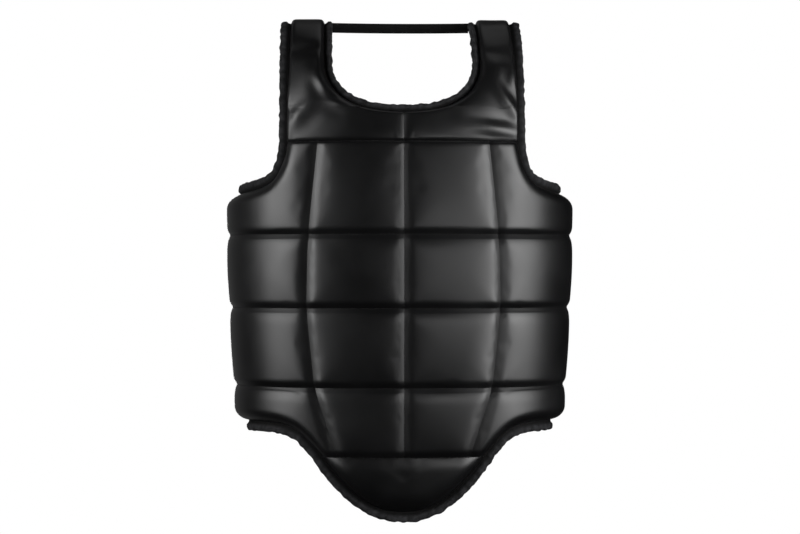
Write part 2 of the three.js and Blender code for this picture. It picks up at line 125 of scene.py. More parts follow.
def body_place(deg, z):
    """Points on the wearer's side of the body, with the directions out of the padding."""
    half_width = read_table(SECTIONS, "z", "half_width", z)
    half_depth = read_table(SECTIONS, "z", "half_depth", z)
    sine, cosine = np.sin(np.radians(deg)), np.cos(np.radians(deg))
    points = np.stack([half_width * sine, -half_depth * cosine, z + 0 * deg], -1)
    normals = np.stack([half_depth * sine, -half_width * cosine, 0 * deg], -1)
    return points, normals / np.linalg.norm(normals, axis=-1, keepdims=True)


def angle_at(x, z):
    return np.degrees(np.arcsin(x / read_table(SECTIONS, "z", "half_width", z)))


def steps_across(length, dense_start=True, dense_end=True):
    """Grid places from 0 to 1 over a length in millimetres, close together beside a sewn or bound end."""
    beside = np.array(STEPS_BESIDE_SEAM) / length
    start = beside if dense_start else beside[:1]
    end = 1 - beside[::-1] if dense_end else np.array([1.0])
    count = max(2, round((end[0] - start[-1]) * length / GRID_STEP))
    return np.concatenate([start[:-1], np.linspace(start[-1], end[0], count + 1), end[1:]])


def distance_to(points, line):
    """Distance of each point to a line of points."""
    starts, ends = line[:-1], line[1:]
    along = ends - starts
    lengths = np.maximum((along**2).sum(-1), 1e-9)
    best = np.full(points.shape[:-1], np.inf)
    for start, step, length in zip(starts, along, lengths):
        share = np.clip(((points - start) @ step) / length, 0, 1)
        best = np.minimum(best, np.linalg.norm(points - start - share[..., None] * step, axis=-1))
    return best


def rounded(distance, reach):
    """Rises from 0 to 1 over a reach: steep at first, and rounding off into the cell."""
    return np.sin(np.clip(distance / reach, 0, 1) * math.pi / 2)


def eased(share):
    """Goes from 0 to 1 with a soft start and a soft end."""
    return share * share * (3 - 2 * share)


def row_groove(points, line):
    """Depth of the groove along a level seam. The cell above rolls down steeply to the seam. Below it lies a
    narrow sloping strip, where the seam allowance lies under the leather, and then the next cell rises."""
    distance = distance_to(points, line)
    strip, below = ROW_GROOVE["strip"], ROW_GROOVE["below"]
    upper = rounded(distance, ROW_GROOVE["above"])
    slope = ROW_GROOVE["strip_rise"] * np.clip(distance / strip, 0, 1)
    lower = slope + (1 - ROW_GROOVE["strip_rise"]) * rounded(distance - strip, below - strip)
    past_front = (np.abs(points[..., 0]) - ROW_GROOVE["side_from"]) / ROW_GROOVE["side_over"]
    side = eased(np.clip(past_front, 0, 1))
    depth = ROW_GROOVE["front_depth"] + (ROW_GROOVE["side_depth"] - ROW_GROOVE["front_depth"]) * side
    return depth * (1 - np.where(points[..., 2] > line[:, 2].mean(), upper, lower))


def plain_groove(sizes):
    """A groove that is deepest on its seam and rounds off alike on both sides."""
    return lambda points, line: sizes["depth"] * (1 - rounded(distance_to(points, line), sizes["reach"]))


column_groove, join_groove, crown = map(plain_groove, (COLUMN_GROOVE, JOIN_GROOVE, CROWN))


def bound_roll(distance, share, reach):
    """Padding left beside a bound edge: a flat margin under the stitching, then a quarter round."""
    q = np.clip((distance - SEWN_MARGIN) / reach, 0, 1)
    return 1 - share * (1 - np.sqrt(1 - (1 - q) ** 2))


def padding_of(points, full, grooves, bound=(), edge_reach=BODY_EDGE_REACH):
    """Full padding, drawn in by each groove along its line of stitching and along the bound edges. Between
    the seams it rises to a low crown."""
    drawn_in = np.zeros(points.shape[:-1])
    below_crown = np.zeros(points.shape[:-1])
    for groove, line in grooves:
        drawn_in += groove(points, line)
        below_crown = np.maximum(below_crown, crown(points, line))
    left = full - drawn_in - below_crown
    for line in bound:
        left = left * bound_roll(distance_to(points, line), 1 - EDGE_PADDING / full, edge_reach)
    return np.maximum(left, EDGE_PADDING)


def padded_piece(name, points, normals, padding, sewn_rows=(), sewn_columns=()):
    """A closed cover over a grid: outer skin, wearer's skin and rim, with sharp creases on the sewn lines."""
    rows, columns = padding.shape
    outer = points + normals * padding[..., None]
    places = np.concatenate([outer.reshape(-1, 3), points.reshape(-1, 3)]) * MM
    index = np.arange(rows * columns).reshape(rows, columns)
    a, b, c, d = index[:-1, :-1], index[1:, :-1], index[1:, 1:], index[:-1, 1:]
    skin = np.stack([a, b, c, d], -1).reshape(-1, 4)
    under = rows * columns
    rim = np.concatenate([index[0, :-1], index[:-1, -1], index[-1, :0:-1], index[:0:-1, 0]])
    after = np.roll(rim, -1)
    wall = np.stack([rim, after, after + under, rim + under], -1)
    faces = np.concatenate([skin, skin[:, ::-1] + under, wall])
    mesh = bpy.data.meshes.new(name)
    mesh.from_pydata(places.tolist(), [], faces.tolist())
    mesh.polygons.foreach_set("use_smooth", np.ones(len(faces), bool))
    mesh.polygons.foreach_set("material_index", (np.arange(len(faces)) >= len(skin)).astype(np.int32))
    piece = placed(name, mesh)

    across = np.linalg.norm(np.diff(points, axis=1, prepend=points[:, :1]), axis=-1).cumsum(1) * MM
    down = np.linalg.norm(np.diff(points, axis=0, prepend=points[:1]), axis=-1).cumsum(0) * MM
    corners = np.array([loop.vertex_index for loop in mesh.loops]) % under
    uv = np.stack([across.reshape(-1)[corners], -down.reshape(-1)[corners]], -1)
    mesh.uv_layers.new(name="UVMap").data.foreach_set("uv", uv.reshape(-1).astype(np.float32))

    ends = np.array([edge.vertices[:] for edge in mesh.edges])
    r, c, below = (ends % under) // columns, (ends % under) % columns, ends >= under
    on_skin = below[:, 0] == below[:, 1]
    sharp_rows = np.isin(r[:, 0], [0, rows - 1, *sewn_rows]) & (r[:, 0] == r[:, 1]) & on_skin
    sharp_columns = np.isin(c[:, 0], [0, columns - 1, *sewn_columns]) & (c[:, 0] == c[:, 1]) & on_skin
    sharp = sharp_rows | sharp_columns
    mesh.attributes.new("crease_edge", "FLOAT", "EDGE").data.foreach_set("value", sharp.astype(np.float32))
    mesh.attributes.new("sharp_edge", "BOOLEAN", "EDGE").data.foreach_set("value", sharp)

    beside = np.arange(-HELD_BESIDE_SEAM, HELD_BESIDE_SEAM + 1)
    held_rows = np.add.outer([0, rows - 1, *sewn_rows], beside).clip(0, rows - 1).ravel()
    held_columns = np.add.outer([0, columns - 1, *sewn_columns], beside).clip(0, columns - 1).ravel()
    held = np.zeros((2, rows, columns), bool)
    held[1] = True
    held[0, held_rows, :] = True
    held[0, :, held_columns] = True
    sewn = piece.vertex_groups.new(name="sewn")
    sewn.add(np.flatnonzero(held).tolist(), 1.0, "REPLACE")
    return piece


def swell(piece, pressure, spare, most):
    """Lets the cover settle as cloth held along its seams, with spare cloth and foam pressing from inside.
    A point moves at most `most` millimetres. One subdivision finishes the cover."""
    mesh = piece.data
    before = np.empty(len(mesh.vertices) * 3)
    mesh.vertices.foreach_get("co", before)
    cloth = piece.modifiers.new("cover", "CLOTH")
    cloth.collision_settings.use_collision = False
    settings = cloth.settings
    settings.quality = 6
    settings.mass = 0.4
    settings.tension_stiffness = 30
    settings.compression_stiffness = 30
    settings.shear_stiffness = 20
    settings.bending_stiffness = 14
    settings.air_damping = 4
    settings.shrink_min = -spare
    settings.vertex_group_mass = "sewn"
    settings.use_pressure = True
    settings.uniform_pressure_force = pressure
    settings.effector_weights.gravity = 0
    for moment in range(1, SETTLE_FRAMES + 1):
        bpy.context.scene.frame_set(moment)
    settled = piece.evaluated_get(bpy.context.evaluated_depsgraph_get()).data
    after = np.empty_like(before)
    settled.vertices.foreach_get("co", after)
    piece.modifiers.remove(cloth)
    bpy.context.scene.frame_set(1)
    move = (after - before).reshape(-1, 3)
    size = np.maximum(np.linalg.norm(move, axis=1, keepdims=True), 1e-12)
    limit = most * MM
    kept = before.reshape(-1, 3) + move / size * limit * np.tanh(size / limit)
    mesh.vertices.foreach_set("co", kept.reshape(-1))
    finish = piece.modifiers.new("smooth", "SUBSURF")
    finish.levels = finish.render_levels = 1


def linear(hex_colour):
    """An sRGB hex colour as linear red, green, blue and alpha."""
    parts = [int(hex_colour[i:i + 2], 16) / 255 for i in (1, 3, 5)]
    return (*(p / 12.92 if p <= 0.04045 else ((p + 0.055) / 1.055) ** 2.4 for p in parts), 1.0)


def set_inputs(tree, node, inputs):
    """Gives each input a value, or links it to a socket or to a node's first output."""
    for key, value in inputs.items():
        if isinstance(value, bpy.types.Node):
            value = value.outputs[0]
        if isinstance(value, bpy.types.NodeSocket):
            tree.links.new(value, node.inputs[key])
        else:
            node.inputs[key].default_value = value


def add_node(tree, kind, inputs=None, **settings):
    """Adds a node with its settings and inputs."""
    node = tree.nodes.new(kind)
    for key, value in settings.items():
        setattr(node, key, value)
    set_inputs(tree, node, inputs or {})
    return node


def new_material(name):
    material = bpy.data.materials.new(name)
    material.use_nodes = True
    tree = material.node_tree
    return material, tree, tree.nodes["Principled BSDF"]


def synthetic_leather():
    """Polyurethane film pressed with a fine pebble grain on knitted backing: a satin gloss with soft
    reflections. The grain is about 0.7 mm and is drawn at 1.1 mm so that it shows."""
    material, tree, shader = new_material("black synthetic leather")
    grain_mm, patch_mm = 1.1, 55
    place = add_node(tree, "ShaderNodeTexCoord").outputs["Object"]
    patches = add_node(tree, "ShaderNodeTexNoise", {"Vector": place, "Scale": 1000 / patch_mm, "Detail": 3})
    colour = add_node(tree, "ShaderNodeValToRGB", {"Fac": patches.outputs["Fac"]})
    colour.color_ramp.elements[0].position = 0.3
    colour.color_ramp.elements[0].color = linear("#0a0a0b")
    colour.color_ramp.elements[1].position = 0.7
    colour.color_ramp.elements[1].color = linear("#101011")
    gloss = add_node(tree, "ShaderNodeMapRange", {
        "Value": patches.outputs["Fac"], "From Min": 0.3, "From Max": 0.7, "To Min": 0.33, "To Max": 0.4})
    pebbles = add_node(tree, "ShaderNodeTexVoronoi", {"Vector": place, "Scale": 1000 / grain_mm},
                       feature="SMOOTH_F1")
    bump = add_node(tree, "ShaderNodeBump", {
        "Height": pebbles.outputs["Distance"], "Strength": 0.12, "Distance": 0.0002})
    set_inputs(tree, shader, {"Base Color": colour, "Roughness": gloss, "Normal": bump, "IOR": 1.5})
    return material


def band_scale(band_mm):
    """Scale of a wave texture whose light and dark bands are each so many millimetres wide."""
    return 1000 / band_mm / 20 * math.pi


def woven(name, yarn_mm, cross_mm, dark, light, looks, waver=0.0):
    """Yarn that runs along a piece, with yarn across it. A cross yarn may waver."""
    material, tree, shader = new_material(name)
    place = add_node(tree, "ShaderNodeUVMap", uv_map="UVMap")
    yarn = add_node(tree, "ShaderNodeTexWave", {
        "Vector": place, "Scale": band_scale(yarn_mm)}, bands_direction="Y")
    cross = add_node(tree, "ShaderNodeTexWave", {
        "Vector": place, "Scale": band_scale(cross_mm), "Distortion": waver}, bands_direction="X")
    weave = add_node(tree, "ShaderNodeMath", {
        0: yarn.outputs["Fac"], 1: cross.outputs["Fac"]}, operation="MULTIPLY")
    colour = add_node(tree, "ShaderNodeValToRGB", {"Fac": weave})
    colour.color_ramp.elements[0].color = linear(dark)
    colour.color_ramp.elements[1].color = linear(light)
    bump = add_node(tree, "ShaderNodeBump", {"Height": weave, "Strength": 0.4, "Distance": 0.0003})
    set_inputs(tree, shader, {"Base Color": colour, "Normal": bump, **looks})
    return material


def nylon_lining():
    """Plain woven nylon on the wearer's side: matte with a faint sheen. The yarn is about 0.4 mm and is drawn
    at 1.4 mm so that the weave shows."""
    return woven("black woven nylon", yarn_mm=1.4, cross_mm=1.4, dark="#0d0d0e", light="#1d1d1f",
                 looks={"Roughness": 0.72, "Sheen Weight": 0.15})


leather, lining = synthetic_leather(), nylon_lining()


def cover_with_leather(piece, node):
    piece.data.materials.append(leather)
    piece.data.materials.append(lining)
    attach(piece, "root")
    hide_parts(node)


def sewn_z(k):
    """Height of a sewn line. The panel laps a little under the yoke at the top and the flap at the bottom."""
    return SEWN_LINES[k]["z"] + {0: SEAM_LAP, len(SEWN_LINES) - 1: -SEAM_LAP}.get(k, 0)


def column_deg(k, lap):
    return angle_at(SEWN_LINES[k]["column_x"] + lap, SEWN_LINES[k]["z"])


def quilt_rows(column_share, angles_on, heights_on):
    """Grid of places between the sewn lines, and the grid rows that lie on them."""
    degs, heights, lines = [], [], [0]
    for k in range(len(SEWN_LINES) - 1):
        row_height = SEWN_LINES[k]["z"] - SEWN_LINES[k + 1]["z"]
        steps = steps_across(row_height)[(1 if k else 0):]
        upper_deg, lower_deg = angles_on(k, column_share), angles_on(k + 1, column_share)
        upper_z, lower_z = heights_on(k, column_share), heights_on(k + 1, column_share)
        for step in steps:
            degs.append(upper_deg + (lower_deg - upper_deg) * step)
            heights.append(upper_z + (lower_z - upper_z) * step)
        lines.append(len(degs) - 1)
    return *body_place(np.array(degs), np.array(heights)), lines


cell = steps_across(CELL_WIDTH)
front_share = np.concatenate([cell - 1, cell[1:]])
front_points, front_normals, front_lines = quilt_rows(
    front_share,
    lambda k, c: c * column_deg(k, SEAM_LAP),
    lambda k, c: sewn_z(k) + 0 * c,
)
seam_columns = [0, len(cell) - 1, len(front_share) - 1]
front_padding = padding_of(
    front_points, BODY_PADDING,
    grooves=[(join_groove, front_points[0]), *((row_groove, front_points[r]) for r in front_lines[1:]),
             *((column_groove, front_points[:, c]) for c in seam_columns)])
front_panel = padded_piece(
    "front_panel_cover", front_points, front_normals, front_padding, front_lines, seam_columns)
swell(front_panel, pressure=3, spare=0.002, most=0.45)
cover_with_leather(front_panel, "front_panel")


# Side panels: one column of quilted cells each, sewn to the front panel and wrapping round the trunk to a
# rear edge. The top is cut away under the arm and the bottom follows the hem.
ARMHOLE = [
    {"deg": 46, "z": -144},
    {"deg": 47.8, "z": -166},
    {"deg": 51.5, "z": -184},
    {"deg": 60, "z": -194},
    {"deg": 75, "z": -199},
    {"deg": 93, "z": -203},
    {"deg": 112, "z": -206},
]
HEM = [
    {"deg": 33, "z": -514},
    {"deg": 37.5, "z": -500},
    {"deg": 42.5, "z": -488},
    {"deg": 50, "z": -481},
    {"deg": 61, "z": -478.5},
    {"deg": 85, "z": -479},
    {"deg": 112, "z": -480},
]
REAR_DEG = 112
CORNER_AT = 0.2
WIDTH_TO_CORNER, WIDTH_TO_REAR = 41, 170

before_corner = CORNER_AT * steps_across(WIDTH_TO_CORNER, dense_end=False)
after_corner = CORNER_AT + (1 - CORNER_AT) * steps_across(WIDTH_TO_REAR, dense_start=False)
side_share = np.concatenate([before_corner, after_corner[1:]])
corner = len(before_corner) - 1


def side_angles(k, c):
    corner_deg = SEWN_LINES[k]["corner_deg"]
    start = column_deg(k, -SEAM_LAP)
    first = start + (corner_deg - start) * c / CORNER_AT
    second = corner_deg + (REAR_DEG - corner_deg) * (c - CORNER_AT) / (1 - CORNER_AT)
    return np.where(c <= CORNER_AT, first, second)


def side_heights(k, c):
    free_edge = {0: ARMHOLE, len(SEWN_LINES) - 1: HEM}.get(k)
    level = sewn_z(k) + 0 * c
    if free_edge is None:
        return level
    return np.where(c <= CORNER_AT, level, read_table(free_edge, "deg", "z", side_angles(k, c)))


def mirrored(points, normals, *rest):
    """The left-hand grid of a pair: mirrored, with its columns in the other order so that it faces out."""
    flip = np.array([-1, 1, 1])
    return points[:, ::-1] * flip, normals[:, ::-1] * flip, *(r[:, ::-1] for r in rest)


side_points, side_normals, side_lines = quilt_rows(side_share, side_angles, side_heights)
top, bottom = side_points[0], side_points[-1]
side_padding = padding_of(
    side_points, BODY_PADDING,
    grooves=[(join_groove, top[:corner + 1]), (row_groove, bottom[:corner + 1]),
             *((row_groove, side_points[r]) for r in side_lines[1:-1]), (column_groove, side_points[:, 0])],
    bound=[top[corner:], side_points[:, -1], bottom[corner:]])
side_panel_right = padded_piece(
    "side_panel_right_cover", side_points, side_normals, side_padding, side_lines)
side_panel_left = padded_piece(
    "side_panel_left_cover", *mirrored(side_points, side_normals, side_padding), side_lines)
for side_panel, node in ((side_panel_right, "side_panel_right"), (side_panel_left, "side_panel_left")):
    swell(side_panel, pressure=3, spare=0.002, most=0.45)
    cover_with_leather(side_panel, node)


# Yoke and shoulder straps: the upper chest in two halves with a seam down the middle. Each half runs up into
# a strap that goes back over the shoulder. The padding is thinner here and the leather lies in folds.
YOKE = {"outer_x": 135.5, "neck_half_width": 89, "arch_power": 1.7}
NECKLINE = {"top_z": -45, "bottom_z": -107.5, "power": 2.4}
STRAP_END = {"start_deg": 122, "round_deg": 10, "narrowing": 7}
YOKE_GRID = {"chest": 36, "across": 80, "neck_rows": 30, "strap_rows": 44, "end_rows": 9, "end_deg": 80}
YOKE_PADDING, STRAP_PADDING, YOKE_EDGE_REACH = 16, 10.5, 5
MIDDLE_GROOVE = {"depth": 1.6, "reach": 7}
FOLD_COLUMNS = ("side", "x", "z", "length", "width", "turn_deg", "height")
FOLDS = [
    ("right", 112, -62, 46, 26, 90, 6.4),
    ("right", 126, -69, 28, 6, 84, 2.0),
    ("right", 116, -98, 40, 6.5, -55, 3.0),
    ("right", 104, -130, 58, 6.5, -6, 2.6),
    ("right", 112, -44, 46, 7, 0, -1.0),
    ("right", 115, -8, 34, 5, 8, 0.6),
    ("left", 98, -58, 60, 32, 90, 6.0),
    ("left", 115, -113, 36, 8, -48, 2.4),
    ("left", 90, -82, 24, 6, 62, 2.2),
    ("left", 70, -105, 24, 6, 28, 2.2),
    ("left", 112, -38, 46, 7, 0, -1.0),
    ("left", 94, -54, 16, 5, 80, 1.6),
]
FOLD_MARGIN = 7


def arched(wave):
    return np.sign(wave) * np.abs(wave) ** (2 / YOKE["arch_power"])


def yoke_point(x, lift):
    """Each x has its own arch from the yoke seam over the shoulder."""
    top_section = SECTIONS[0]
    reach = top_section["half_depth"] * np.sqrt(1 - (x / top_section["half_width"]) ** 2)
    height = top_section["z"] * (1 - arched(np.sin(np.radians(lift))))
    return np.stack([x, -reach * arched(np.cos(np.radians(lift))), height], -1)


def yoke_place(x, lift):
    step = 0.5
    across = yoke_point(x + step, lift) - yoke_point(x - step, lift)
    up = yoke_point(x, lift + step) - yoke_point(x, lift - step)
    normals = np.cross(across, up)
    return yoke_point(x, lift), normals / np.linalg.norm(normals, axis=-1, keepdims=True)


def lift_of(z):
    return np.degrees(np.arcsin((1 - z / SECTIONS[0]["z"]) ** (YOKE["arch_power"] / 2)))


def yoke_rows():
    """Rows from the yoke seam up over the shoulder: lift angle, inner edge and outer edge of the padding."""
    outer, inner = YOKE["outer_x"], YOKE["neck_half_width"]
    chest_lift, strap_lift = lift_of(NECKLINE["bottom_z"]), lift_of(NECKLINE["top_z"])
    chest = chest_lift * steps_across(YOKE_GRID["chest"])[:-1]
    turn = np.radians(np.linspace(0, 90, YOKE_GRID["neck_rows"])[:-1])
    neck_x = inner * np.sin(turn) ** (2 / NECKLINE["power"])
    drop = np.cos(turn) ** (2 / NECKLINE["power"])
    neck_z = NECKLINE["top_z"] + (NECKLINE["bottom_z"] - NECKLINE["top_z"]) * drop
    strap = np.linspace(strap_lift, STRAP_END["start_deg"], YOKE_GRID["strap_rows"])
    past_crest = np.clip((strap - 90) / (STRAP_END["start_deg"] - 90), 0, 1)
    narrowed = inner + STRAP_END["narrowing"] * eased(past_crest)
    end = np.radians(np.linspace(0, YOKE_GRID["end_deg"], YOKE_GRID["end_rows"])[1:])
    middle, half = (narrowed[-1] + outer) / 2, (outer - narrowed[-1]) / 2
    lift = np.concatenate([
        chest, lift_of(neck_z), strap, STRAP_END["start_deg"] + STRAP_END["round_deg"] * np.sin(end)])
    inner_x = np.concatenate([
        -SEAM_LAP + 0 * chest, neck_x, narrowed, middle - half * np.cos(end)])
    outer_x = np.concatenate([
        outer + 0 * chest, outer + 0 * neck_x, outer + 0 * strap, middle + half * np.cos(end)])
    return lift, inner_x, outer_x, len(chest)


lift, inner_x, outer_x, chest_rows = yoke_rows()
yoke_share = steps_across(YOKE_GRID["across"])
yoke_x = inner_x[:, None] + (outer_x - inner_x)[:, None] * yoke_share
yoke_points, yoke_normals = yoke_place(yoke_x, lift[:, None] + 0 * yoke_x)
yoke_points, yoke_normals = yoke_points[::-1], yoke_normals[::-1]
neck_end = len(lift) - chest_rows
height_share = np.clip(
    (yoke_points[..., 2] - NECKLINE["bottom_z"]) / (NECKLINE["top_z"] - NECKLINE["bottom_z"]), 0, 1)
yoke_full = YOKE_PADDING + (STRAP_PADDING - YOKE_PADDING) * eased(height_share)
yoke_padding = padding_of(
    yoke_points, yoke_full,
    grooves=[(join_groove, yoke_points[-1]), (plain_groove(MIDDLE_GROOVE), yoke_points[neck_end - 1:, 0])],
    bound=[yoke_points[:neck_end, 0], yoke_points[0], yoke_points[:, -1]], edge_reach=YOKE_EDGE_REACH)


def fold_height(points, side):
    """Ridges and hollows of the folds on one half of the yoke, seen from the front."""
    x, z = np.abs(points[..., 0]), points[..., 2]
    total = np.zeros(x.shape)
    for fold in (dict(zip(FOLD_COLUMNS, row)) for row in FOLDS):
        if fold["side"] != side:
            continue
        turn = math.radians(fold["turn_deg"])
        along = (x - fold["x"]) * math.cos(turn) + (z - fold["z"]) * math.sin(turn)
        across = (z - fold["z"]) * math.cos(turn) - (x - fold["x"]) * math.sin(turn)
        q = across / fold["width"]
        ridge = (1 - q**2) * np.exp(-0.5 * q**2)
        total += fold["height"] * ridge * np.exp(-((along / (0.5 * fold["length"])) ** 2))
    return total


def fold_room(points):
    """Folds die away at the edges of the yoke half, where the leather is sewn down."""
    edges = [points[-1], points[:, 0], points[0], points[:, -1]]
    nearest = np.min([distance_to(points, edge) for edge in edges], axis=0)
    return np.clip(nearest / FOLD_MARGIN, 0, 1)


yoke_room = fold_room(yoke_points)
for name, side in (("yoke_right", "right"), ("yoke_left", "left")):
    folded = yoke_padding + fold_height(yoke_points, side) * yoke_room
    grid = (yoke_points, yoke_normals, folded)
    yoke_half = padded_piece(f"{name}_cover", *(grid if side == "right" else mirrored(*grid)))
    swell(yoke_half, pressure=1, spare=0.003, most=0.8)
    cover_with_leather(yoke_half, name)


# Lower flap: one rounded pad of the same leather and foam below the quilting. It is sewn to the bottom of the
# front panel, and its padding rolls up to that seam in a wide curve.
FLAP = {"tip_z": -583, "top_half_width": 97, "power": 2.1, "last_share": 0.1}
FLAP_GRID = {"half_width": 96, "rows": 34}
FLAP_PADDING, FLAP_EDGE_REACH = 18, 24
FLAP_GROOVE = {"depth": 3, "reach": 18}

flap_half = steps_across(FLAP_GRID["half_width"], dense_start=False)
flap_share = np.concatenate([-flap_half[::-1], flap_half[1:]])
flap_top = SEWN_LINES[-1]["z"] + SEAM_LAP
narrowing = np.sin(np.linspace(math.pi / 2, 0, FLAP_GRID["rows"]))
widths = FLAP["last_share"] + (1 - FLAP["last_share"]) * narrowing
flap_z = (FLAP["tip_z"] + (flap_top - FLAP["tip_z"]) * widths ** FLAP["power"])[:, None]
flap_x = FLAP["top_half_width"] * widths[:, None] * flap_share
flap_points, flap_normals = body_place(angle_at(flap_x, flap_z), flap_z + 0 * flap_x)
flap_padding = padding_of(
    flap_points, FLAP_PADDING, grooves=[(plain_groove(FLAP_GROOVE), flap_points[0])],
    bound=[flap_points[:, 0], flap_points[-1], flap_points[:, -1]], edge_reach=FLAP_EDGE_REACH)
lower_flap = padded_piece("lower_flap_cover", flap_points, flap_normals, flap_padding)
swell(lower_flap, pressure=3, spare=0.002, most=0.45)
cover_with_leather(lower_flap, "lower_flap")


# Edge tape: woven polyester folded over every free edge and sewn through with one row of stitches. It is
# gathered a little as it goes round the curves, so its outer edge ripples.
TAPE = {"reach": 9.35, "lap": 3.4, "thickness": 8.2, "sink": 0.2, "bead_edge": -0.12, "channel": 0.6}
NECK_TAPE = {**TAPE, "reach": 6.25, "bead_edge": -0.42}
TAPE_FORM = {"step": 1.7, "round_points": 21, "square_power": 0.62, "end_round": 0.3, "bead_blend": 0.15,
             "weld": 0.02}
GATHER = {"depth": 3.2, "length": 10, "seed_step": 7.3}
PUFF = {"round_waves": 3.0, "scale": 1.3}
# Painted light on the tape's bead: lighter on the crests of its puffs as painted highlight, and darker in the
# dips as painted shade.
PUFF_SHADING = {"low": 0.35, "high": 0.65, "least": 0.35, "most": 1.0}
MATHS = "ShaderNodeMath"


def woven_tape():
    """Woven polyester tape: matte ribs across its width. The ribs are 0.6 mm and are drawn at 1.6 mm so
    that they show. Its colour holds painted light and shade: the folded bead is painted lighter as a painted
    highlight, and the half that is sewn down is painted dark as painted shade in its channel."""
    material, tree, shader = new_material("black woven polyester tape")
    rib_mm, patch_mm = 1.6, 9
    place = add_node(tree, "ShaderNodeUVMap", uv_map="UVMap").outputs["UV"]
    ribs = add_node(tree, "ShaderNodeTexWave", {
        "Vector": place, "Scale": band_scale(rib_mm), "Distortion": 3.0, "Detail": 2,
        "Detail Scale": 2}, bands_direction="X")
    patches = add_node(tree, "ShaderNodeTexNoise", {"Vector": place, "Scale": 1000 / patch_mm, "Detail": 4})
    # The stored "bead" value carries painted light and shade: low in the sewn channel, as painted shade, and
    # high on the bead, as painted highlight.
    bead = add_node(tree, "ShaderNodeAttribute", attribute_name="bead").outputs["Fac"]
    mix = add_node(tree, "ShaderNodeMath", {0: patches.outputs["Fac"], 1: bead}, operation="MULTIPLY")
    colour = add_node(tree, "ShaderNodeValToRGB", {"Fac": mix.outputs["Value"]})
    colour.color_ramp.elements[0].color = linear("#070707")
    colour.color_ramp.elements[1].position = 0.6
    colour.color_ramp.elements[1].color = linear("#38383a")
    bump = add_node(tree, "ShaderNodeBump", {
        "Height": ribs.outputs["Fac"], "Strength": 0.2, "Distance": 0.0002})
    set_inputs(tree, shader, {
        "Base Color": colour, "Normal": bump, "Roughness": 0.75, "Specular IOR Level": 0.15})
    return material


tape_cloth = woven_tape()


def started_tree(name, sizes):
    """A new Geometry Nodes tree for what follows an edge path. Each size and the finish has an input."""
    tree = bpy.data.node_groups.new(name, "GeometryNodeTree")
    inputs = [("Edge path", "Geometry"), *((size, "Float") for size in sizes), ("Finish", "Material")]
    for socket, kind in inputs:
        tree.interface.new_socket(name=socket, in_out="INPUT", socket_type=f"NodeSocket{kind}")
    tree.interface.new_socket(name="Result", in_out="OUTPUT", socket_type="NodeSocketGeometry")
    given = add_node(tree, "NodeGroupInput").outputs
    return tree, given, add_node(tree, "GeometryNodeMeshToCurve", {"Mesh": given["Edge path"]})


def ended_tree(tree, result, finish):
    """The tree, with its result made into plain smooth mesh and given its finish."""
    result = add_node(tree, "GeometryNodeRealizeInstances", {"Geometry": result})
    result = add_node(tree, "GeometryNodeSetShadeSmooth", {0: result})
    result = add_node(tree, "GeometryNodeSetMaterial", {"Geometry": result, "Material": finish})
    add_node(tree, "NodeGroupOutput", {"Result": result})
    return tree


